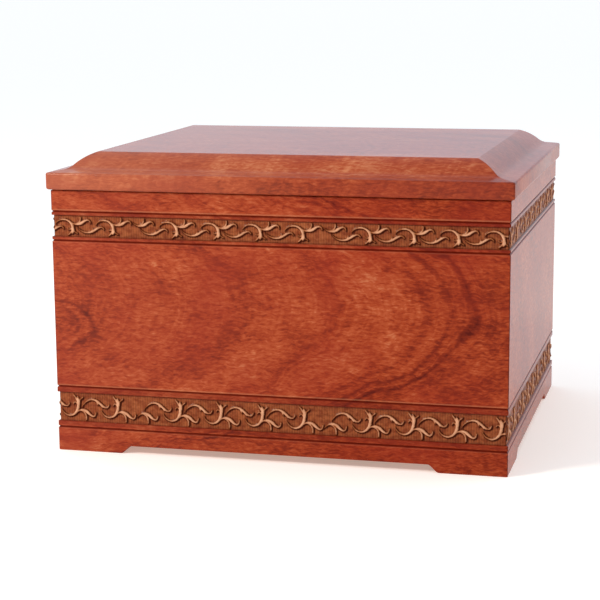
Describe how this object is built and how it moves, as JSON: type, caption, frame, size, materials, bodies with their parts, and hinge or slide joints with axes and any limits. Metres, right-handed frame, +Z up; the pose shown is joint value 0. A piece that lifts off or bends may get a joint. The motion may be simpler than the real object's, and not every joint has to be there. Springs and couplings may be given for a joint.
{
  "type": "cremation urn box",
  "caption": "Rectangular wooden urn box with mitred walls, low feet, carved scroll bands, a bottom panel and a moulded lift-off lid over an empty cavity.",
  "frame": {"origin": "on the floor, under the middle of the box", "axes": "+X to the box's right seen from the front, +Y towards its back, +Z up"},
  "size_m": [0.254, 0.216, 0.1646],
  "materials": {
    "stained_cherry_boards": "red cherry stain under satin lacquer, scrolls rubbed to tan over a brown pressed ground",
    "stained_cherry_lid": "red cherry stain under satin lacquer",
    "panel_wood": "thinly sealed, matt"
  },
  "bodies": {
    "root": {"front_board": "stained_cherry_boards", "right_board": "stained_cherry_boards", "back_board": "stained_cherry_boards", "left_board": "stained_cherry_boards", "bottom_panel": "panel_wood", "lid": "stained_cherry_lid"}
  },
  "joints": []
}
